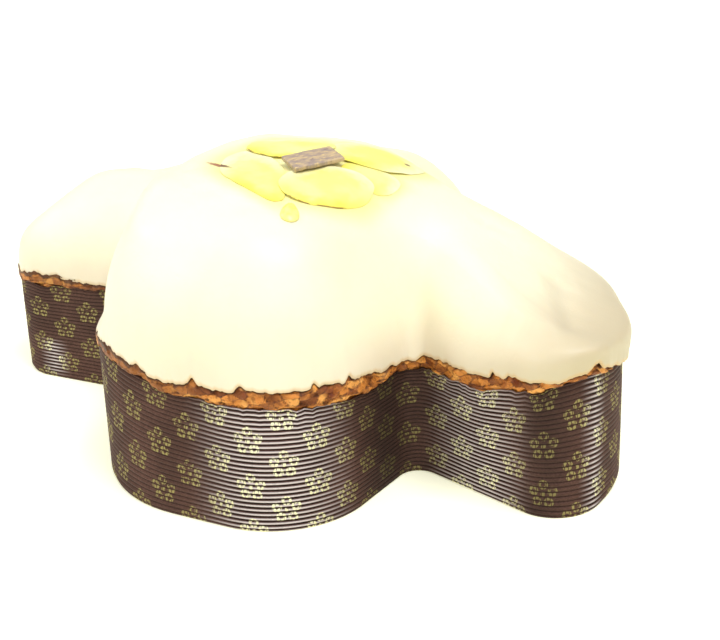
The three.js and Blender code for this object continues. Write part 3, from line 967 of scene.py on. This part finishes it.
def flakes(arc, height, total):
    """Torn flakes of crust: relief, tone and distance from the flake's border at each point."""
    random = np.random.default_rng(SEED + 57)
    columns = round(total / FLAKE_LENGTH)
    u, v = np.meshgrid(np.arange(columns), np.arange(FLAKE_ROWS) - FLAKE_ROWS_UNDER, indexing="ij")
    u = ((u + random.uniform(-FLAKE_STRAY, FLAKE_STRAY, u.shape)) * total / columns).ravel()
    v = ((v + random.uniform(-FLAKE_STRAY, FLAKE_STRAY, v.shape)) * FLAKE_HEIGHT).ravel()
    rise = random.uniform(*FLAKE_RISE, u.size)
    tone = random.uniform(0, 1, u.size)
    slopes = random.uniform(-FLAKE_SLOPE, FLAKE_SLOPE, (2, u.size))
    relief, tones, border = (np.empty(height.shape) for _ in range(3))
    for column in range(height.shape[1]):
        across = (arc[column] - u + total / 2) % total - total / 2
        near = np.flatnonzero(np.abs(across) < 3 * FLAKE_LENGTH)
        up = height[:, column, None] - v[near]
        apart = np.hypot(across[near] / FLAKE_LENGTH, up / FLAKE_HEIGHT)
        order = np.argsort(apart, axis=1)[:, :2]
        nearest, second = np.take_along_axis(apart, order, 1).T
        chosen = near[order[:, 0]]
        slope_up = slopes[1][chosen] * (height[:, column] - v[chosen])
        relief[:, column] = rise[chosen] + slopes[0][chosen] * across[chosen] + slope_up
        tones[:, column] = tone[chosen]
        border[:, column] = second - nearest
    return relief, tones, border


# Cake: its hidden wall inside the case, then the crust from under the rim to under the icing.
CAKE_COLUMNS = 1400
CRUST_ROWS = 26
CAKE_INSET, CAKE_FOOT, CAKE_TOP = -1.5, 1.5, 4
CRUST_UNDER, CRUST_OVER = 0.9, 2.4
SWELL_OUT, SWELL_OUT_SPAN = 2.3, (0.02, 0.3)
SWELL_IN, SWELL_IN_SPAN = 1.7, (0.6, 1)
CRAG_DEPTH, CRAG_SIZE, CRAG_STRETCH = 0.45, 3, (1, 1, 1.5)
ROUGH_FROM, ROUGH_TO = (0, 0.12), (0.8, 1)
CRUST_PROUD = 0.3
CAKE_SHOULDER_ROWS, CAKE_TOP_ROWS = 6, 10


def crust_rows(outline, shares, over_rim, relief):
    """Rows of the craggy crust, at shares of the way from its lowest to its highest."""
    limit = CRUST_PROUD + bulge_of(outline)
    rows = []
    for share, over, flake in zip(shares, over_rim, relief):
        height = outline.rim + over
        swell = CAKE_INSET + SWELL_OUT * smoothstep(share, *SWELL_OUT_SPAN)
        swell -= SWELL_IN * smoothstep(share, *SWELL_IN_SPAN)
        place = outline.ring(0, height) * CRAG_STRETCH
        crag = CRAG_DEPTH * octaves(place, CRAG_SIZE, 3, SEED + 51, fall=0.6)
        rough = smoothstep(share, *ROUGH_FROM) * (1 - smoothstep(share, *ROUGH_TO))
        rows.append(outline.ring(np.minimum(swell + (crag + flake) * rough, limit), height))
    return rows


def cake_body():
    outline = Outline(CAKE_COLUMNS)
    band = band_height(outline)
    lowest = rim_dips(outline) - CRUST_UNDER
    shares = np.linspace(0, 1, CRUST_ROWS)
    over_rim = lowest + (band + CRUST_OVER - lowest) * shares[:, None]
    relief, tones, border = flakes(outline.arc, over_rim, outline.total)
    depth = ICING_THICKNESS + ICING_GAP
    rows = [outline.ring(CAKE_INSET, height) for height in (CAKE_FOOT, outline.rim - CAKE_TOP)]
    hidden = len(rows)
    rows += crust_rows(outline, shares, over_rim, relief)
    rows.append(outline.ring(bulge_of(outline) - depth, outline.rim + SIDE_HEIGHT - 1))
    rows += dome_rows(outline, depth, CAKE_SHOULDER_ROWS, CAKE_TOP_ROWS)[1:]
    rows = [leaned(row) for row in rows]
    start = np.append(RING_CENTRE, CAKE_FOOT)
    piece = skin("crust_body", start, rows, pole(depth), crust_material())
    under_icing = np.array([row[:, 2] for row in rows]) - (outline.rim + band)
    give_uv(piece, "band", under_icing, outline.arc, outline.total)
    for layer, values, beyond in (("tone", tones, 0.5), ("border", border, 1.0)):
        field = np.full(under_icing.shape, beyond)
        field[hidden:hidden + CRUST_ROWS] = values
        give_uv(piece, layer, field, outline.arc, outline.total)
    return piece


# Icing.
ICING_COLUMNS = 1200
ICING_THICKNESS = 3.0
ICING_GAP = 0.5
SIDE_ROWS = 12
SIDE_SPREAD = 1.5
SHOULDER_ROWS = 16
TOP_ROWS = 34
INNER_SHOULDER_ROWS, INNER_TOP_ROWS = 5, 9
EASED_PASSES = 30
EASED_FROM = 3
# Its lip: share of the bulge, thickness and roughness, then steps out from its inner and from
# its outer face with heights over the ragged edge.
LIP_SHARE = 0.8
LIP_THICKNESS = 1.3
LIP_ROUGH, LIP_ROUGH_SIZE = 0.35, 5
LIP_INSIDE = ((-0.2, 2.0), (0, 0.8), (0.15, 0.25), (0.5, 0))
LIP_OUTSIDE = ((-0.35, 0.05), (0, 0.4))
SWELL_DEPTH, SWELL_SIZE = 0.6, 18
SWELL_START, SWELL_END = (0, 0.7), (0.5, 1)


def icing_side(outline, band, bulge):
    """Rows of the icing from inside its lip, round the ragged edge and up the side."""
    lip = LIP_SHARE * bulge
    lip = lip + LIP_ROUGH * outline.unevenness(LIP_ROUGH_SIZE, 3, SEED + 71, fall=0.6)
    swell = bulge + SWELL_DEPTH * outline.unevenness(SWELL_SIZE, 2, SEED + 81)
    base = outline.rim + band
    inside = lip - LIP_THICKNESS
    rows = [outline.ring(inside + step, base + rise) for step, rise in LIP_INSIDE]
    rows += [outline.ring(lip + step, base + rise) for step, rise in LIP_OUTSIDE]
    foot = base + LIP_OUTSIDE[-1][1]
    top = outline.rim + SIDE_HEIGHT + SIDE_STEP
    for share in np.linspace(0, 1, SIDE_ROWS + 1)[1:-1] ** SIDE_SPREAD:
        offset = lip + (swell - lip) * smoothstep(share, *SWELL_START)
        offset = offset + (bulge - swell) * smoothstep(share, *SWELL_END)
        rows.append(outline.ring(offset, foot + (top - foot) * share))
    return rows


def eased(rows, first, last):
    """Rows with the bend of the profile between two of them spread over its neighbours."""
    block = np.array(rows)
    for _ in range(EASED_PASSES):
        middle = (block[first - 1:last - 1] + block[first + 1:last + 1]) / 2
        block[first:last] += 0.5 * (middle - block[first:last])
    return list(block)


def icing():
    outline = Outline(ICING_COLUMNS)
    band, bulge = band_height(outline), bulge_of(outline)
    side = icing_side(outline, band, bulge)
    outer = side + dome_rows(outline, 0, SHOULDER_ROWS, TOP_ROWS)
    outer = eased(outer, len(side) - SIDE_ROWS + EASED_FROM, len(side) + SHOULDER_ROWS)
    inner = dome_rows(outline, ICING_THICKNESS, INNER_SHOULDER_ROWS, INNER_TOP_ROWS)[:0:-1]
    inner.append(outline.ring(bulge - ICING_THICKNESS, outline.rim + SIDE_HEIGHT - 1))
    rows = [leaned(row) for row in inner + outer]
    piece = skin("icing_coat", pole(ICING_THICKNESS), rows, pole(0), icing_material())
    over = np.array([row[:, 2] for row in rows]) - (outline.rim + band)
    give_uv(piece, "coat", over, outline.arc, outline.total)
    give_uv(piece, "haze", haze(np.array(rows)), outline.arc, outline.total)
    return piece


# Petals, each laid over those before it: name, centre x and y, angle of the length, half length,
# half width, flare, then the shares of a turn between which the edge has a brown line, is deep
# yellow, or fades into the icing.
PETALS = (
    ("petal_left", -0.5, -46, -39, 26, 10.5, -0.4, None, (-0.3, 0.1), (0.25, 0.7)),
    ("petal_right", 37, -21, -50, 9, 11, -0.3, None, (0.6, 0.95), (0.1, 0.4)),
    ("petal_front", 28.5, -40, 231, 19, 13, 0.25, (0.04, 0.27), (0.0, 0.36), (0.45, 0.92)),
    ("petal_back_right", 28, 0, 65, 21, 15, 0.0, None, (0.45, 0.8), (-0.3, 0.4)),
    ("petal_back_left", -3, -17, 24, 18, 11.5, 0.0, (0.55, 0.75), (0.5, 0.9), (0.1, 0.4)),
)
PETAL_THICKNESS = 0.5
PETAL_ROUND, PETAL_ROUND_POWER = 0.85, 4
PETAL_GAP = 0.15
PETAL_COLUMNS = 96
PETAL_RINGS = (0.06, 0.15, 0.3, 0.45, 0.6, 0.72, 0.82, 0.9, 0.96, 0.985, 1.0)
PETAL_WAVER, WAVER_SIZE = 0.04, 0.7
RUFFLE_LIFT, RUFFLE_SIZE = 0.06, 11
# How far beyond a petal's edge the one over it comes down to the icing, and the icing's haze.
LAP_SPAN = (3.5, 9)
HAZE_SPAN = (-1.0, 8.0)


def full_turn(count):
    return np.linspace(0, 2 * math.pi, count, endpoint=False)


def length_and_width(angle):
    """Plan directions along and across something that lies at that angle."""
    turn = math.radians(angle)
    along = np.array([math.cos(turn), math.sin(turn)])
    return along, np.array([-along[1], along[0]])


class Petal:
    """Plan of one petal: a flared oval with a frame along and across its length."""

    def __init__(self, order):
        name, x, y, angle, half_length, half_width, flare, *self.arcs = PETALS[order]
        self.name, self.order, self.flare = name, order, flare
        self.half_length, self.half_width = half_length, half_width
        self.along, self.across = length_and_width(angle)
        self.centre = np.array([x, y], float)

    def points(self, share, turns):
        """Plan points of one ring, with a slightly uneven edge."""
        u, v = share * np.cos(turns), share * np.sin(turns)
        circle = np.column_stack([np.cos(turns), np.sin(turns), 0 * turns])
        waver = octaves(circle, WAVER_SIZE, 2, SEED + 90 + self.order)
        uneven = 1 + PETAL_WAVER * share * waver
        width = self.half_width * (1 + self.flare * u)
        along = (u * self.half_length * uneven)[:, None] * self.along
        return self.centre + along + (v * width * uneven)[:, None] * self.across

    def beyond(self, x, y):
        """Roughly how far plan points are beyond the petal's edge."""
        local = np.stack([x, y], -1) - self.centre
        u = local @ self.along / self.half_length
        width = self.half_width * (1 + self.flare * np.clip(u, -1, 1))
        return (np.hypot(u, local @ self.across / width) - 1) * self.half_width


FLOWER = [Petal(order) for order in range(len(PETALS))]


def haze(points):
    """1 under and close to the petals, falling to 0 a little way from them."""
    beyond = np.min([petal.beyond(points[..., 0], points[..., 1]) for petal in FLOWER], axis=0)
    return 1 - smoothstep(beyond, *HAZE_SPAN)


def petal_floor(under, x, y):
    """Height of the icing and of the petals below one that lies on the first of them."""
    height = dome_height(x, y) + PETAL_GAP
    for petal in under:
        lift = 1 - smoothstep(petal.beyond(x, y), *LAP_SPAN)
        height = height + lift * (PETAL_THICKNESS + PETAL_GAP)
    return height


def laid_skin(name, centre, foot, height, rings, material):
    """Skin of a thin thing over the icing. A ring is its plan, its underside and its thickness."""
    below = [np.column_stack([plan, under]) for plan, under, _ in rings]
    above = [np.column_stack([plan, under + thickness]) for plan, under, thickness in rings]
    start, end = (np.append(centre, foot + rise) for rise in (0, height))
    return skin(name, start, below + above[::-1], end, material)


def make_petal(petal):
    under = FLOWER[:petal.order]
    seed = SEED + 99 + petal.order
    turns = full_turn(PETAL_COLUMNS)
    rings = []
    for share in PETAL_RINGS:
        plan = petal.points(share, turns)
        ruffle = octaves(np.column_stack([plan, 0 * turns]), RUFFLE_SIZE, 2, seed)
        lift = RUFFLE_LIFT * smoothstep(share, 0.5, 1) * (1 + ruffle)
        thickness = PETAL_THICKNESS * (1 - PETAL_ROUND * share**PETAL_ROUND_POWER)
        rings.append((plan, petal_floor(under, *plan.T) + lift, thickness))
    foot = petal_floor(under, *petal.centre)
    sugar = yellow_material(petal.name + "_sugar", *petal.arcs, PETAL_MARKS.get(petal.name))
    piece = laid_skin(petal.name + "_leaf", petal.centre, foot, PETAL_THICKNESS, rings, sugar)
    shares = np.repeat(PETAL_RINGS + PETAL_RINGS[::-1], PETAL_COLUMNS)
    give_uv(piece, "petal", shares, turns / (2 * math.pi), 1.0)
    return piece


# Drop of glaze: a flared oval under a rounded top, from a small first ring to its edge.
DROP_CENTRE = np.array([27.5, -67.0])
DROP_LENGTH, DROP_WIDTH, DROP_HEIGHT, DROP_ANGLE = 6.4, 3.4, 1.9, -62
DROP_FLARE, DROP_ROUND = 0.35, 1.02
DROP_COLUMNS, DROP_RINGS, DROP_START = 64, 12, 0.08


def yellow_drop():
    turns = full_turn(DROP_COLUMNS)
    along, across = length_and_width(DROP_ANGLE)
    rings = []
    for share in np.sin(np.linspace(DROP_START, 1, DROP_RINGS) * math.pi / 2):
        u = share * np.cos(turns)
        v = share * np.sin(turns) * (1 + DROP_FLARE * u)
        plan = DROP_CENTRE + np.outer(u * DROP_LENGTH, along) + np.outer(v * DROP_WIDTH, across)
        thickness = DROP_HEIGHT * math.sqrt(DROP_ROUND - share**2)
        rings.append((plan, petal_floor((), *plan.T), thickness))
    foot = petal_floor((), *DROP_CENTRE)
    return laid_skin("glaze_drop", DROP_CENTRE, foot, DROP_HEIGHT, rings, drop_material())


# Chocolate plaque.
PLAQUE_SIZE = (21.5, 13.0, 1.8)
PLAQUE_ANGLE = 57
PLAQUE_COUNTS = (44, 28, 6)
PLAQUE_EDGE = 0.45
PLAQUE_ROUGH, PLAQUE_GRAIN = 0.16, 3.2
ROUGH_SHARES = (1, 1, 0.35)


def turned(angle, axis):
    return Matrix.Rotation(math.radians(angle), 4, axis)


def box_mesh(counts):
    """Points from -1 to 1 and faces of a box with that many points along each axis."""
    axes = [np.linspace(-1, 1, count) for count in counts]
    points, faces, index = [], [], {}

    def corner(place):
        if place not in index:
            index[place] = len(points)
            points.append([axes[k][place[k]] for k in range(3)])
        return index[place]

    for axis in range(3):
        u, v = [k for k in range(3) if k != axis]
        ends = (0, counts[axis] - 1)
        for side, i, j in itertools.product(ends, range(counts[u] - 1), range(counts[v] - 1)):
            quad = []
            for di, dj in ((0, 0), (1, 0), (1, 1), (0, 1)):
                place = [0, 0, 0]
                place[axis], place[u], place[v] = side, i + di, j + dj
                quad.append(corner(tuple(place)))
            outward = (side == 0) == (axis == 1)
            faces.append(tuple(quad if outward else quad[::-1]))
    return np.array(points), faces


def rough_tablet(shape):
    """A box's points from -1 to 1 as the plaque's, flat, with rounded edges and rough faces."""
    half = np.array(PLAQUE_SIZE) / 2
    core = np.clip(shape * half, PLAQUE_EDGE - half, half - PLAQUE_EDGE)
    away = shape * half - core
    length = np.maximum(np.linalg.norm(away, axis=1), 1e-9)
    body = core + away * (np.minimum(length, PLAQUE_EDGE) / length)[:, None]
    rough = octaves(body, PLAQUE_GRAIN, 3, SEED + 120)
    return body + PLAQUE_ROUGH * rough[:, None] * shape * ROUGH_SHARES


def lie_on_dome(centre, reach, angle):
    """Matrix that turns a flat thing to that angle and lays it on the dome's slope."""
    x, y, _ = centre
    slope_x = (dome_height(x + reach, y) - dome_height(x - reach, y)) / (2 * reach)
    slope_y = (dome_height(x, y + reach) - dome_height(x, y - reach)) / (2 * reach)
    normal = Vector((-slope_x, -slope_y, 1)).normalized()
    lean = Vector((0, 0, 1)).rotation_difference(normal).to_matrix().to_4x4()
    return np.array(Matrix.Translation(Vector(centre)) @ lean @ turned(angle, "Z"))


def plaque():
    """Rounded tablet that lies where the CAD's does."""
    centre = middle_of("plaque") - SHIFT
    shape, faces = box_mesh(PLAQUE_COUNTS)
    body = rough_tablet(shape)
    matrix = lie_on_dome(centre, PLAQUE_SIZE[1] / 2, PLAQUE_ANGLE)
    placed = body @ matrix[:3, :3].T + matrix[:3, 3]
    piece = finish_mesh("chocolate_plaque", placed, faces, plaque_material())
    set_uv(piece.data, "plaque", body[loop_vertices(piece.data), :2])
    return piece


def stand_for(piece, node):
    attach(piece, "root")
    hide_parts(node)


def build_pieces():
    stand_for(paper_case(), "paper_case")
    stand_for(cake_body(), "cake")
    stand_for(icing(), "icing")
    for petal in FLOWER:
        stand_for(make_petal(petal), petal.name)
    stand_for(yellow_drop(), "yellow_drop")
    stand_for(plaque(), "plaque")


# Floor, light and camera, in metres, watts and degrees unless said otherwise.
FLOOR_REACH = 6.0
# Square soft boxes that face the cake: name, azimuth (0 on +X, 90 on +Y), elevation, distance,
# size and power.
LIGHTS = (
    ("top", -15, 68, 1.7, 0.8, 19),
    ("key", -168, 38, 1.6, 0.6, 5),
    ("front", -124, 33, 1.5, 0.22, 3.5),
    ("right", -64, 30, 1.5, 0.22, 1.6),
)
LIGHT_AIM = (0, 0, 0.05)
SKY_BRIGHT, SKY_DIM = 1.02, 0.26
SKY_TOWARDS = (0.05, -0.1, 0.99)
# The photograph's camera: place in millimetres, and focal length in pixels of its width.
CAMERA_AT = (345.7, -547.6, 328.5)
CAMERA_TURN, CAMERA_PITCH, CAMERA_ROLL = -30.3, 24.0, 2.2
FOCAL_PIXELS, IMAGE_WIDTH, SENSOR = 1650, 720, 36


def add_floor():
    corners = [(-1, -1, 0), (1, -1, 0), (1, 1, 0), (-1, 1, 0)]
    mesh = bpy.data.meshes.new("floor")
    mesh.from_pydata((np.array(corners) * FLOOR_REACH).tolist(), [], [(0, 1, 2, 3)])
    mesh.materials.append(floor_material())
    floor = add_object("floor", mesh)


def add_light(name, azimuth, elevation, distance, size, power):
    light = bpy.data.lights.new(name, "AREA")
    light.size = size
    light.energy = power
    facing = turned(azimuth, "Z") @ turned(90 - elevation, "Y")
    away = Matrix.Translation((0, 0, distance))
    add_object(name, light).matrix_world = Matrix.Translation(LIGHT_AIM) @ facing @ away


def add_sky():
    """White sky, brightest overhead and dimmer towards the horizon."""
    nodes = Nodes(bpy.data.worlds.new("studio"))
    inputs = {0: nodes.add("ShaderNodeTexCoord").outputs["Generated"], 1: SKY_TOWARDS}
    towards = nodes.add("ShaderNodeVectorMath", inputs, operation="DOT_PRODUCT").outputs["Value"]
    inputs = {"Value": towards, "To Min": SKY_DIM, "To Max": SKY_BRIGHT}
    strength = nodes.add("ShaderNodeMapRange", inputs).outputs["Result"]
    world = nodes.finish("Background", Color=(1, 1, 1, 1), Strength=strength)
    bpy.context.scene.world = world


def add_camera():
    data = bpy.data.cameras.new("camera")
    data.lens = FOCAL_PIXELS * SENSOR / IMAGE_WIDTH
    data.sensor_width = SENSOR
    data.sensor_fit = "HORIZONTAL"
    facing = turned(-CAMERA_TURN, "Z") @ turned(90 - CAMERA_PITCH, "X")
    camera = add_object("camera", data)
    at = Matrix.Translation(Vector(CAMERA_AT) * MM)
    camera.matrix_world = at @ facing @ turned(-CAMERA_ROLL, "Z")
    bpy.context.scene.camera = camera


add_camera()
add_sky()
for light in LIGHTS:
    add_light(*light)
add_floor()
build_pieces()
bpy.context.scene.view_settings.view_transform = "Standard"
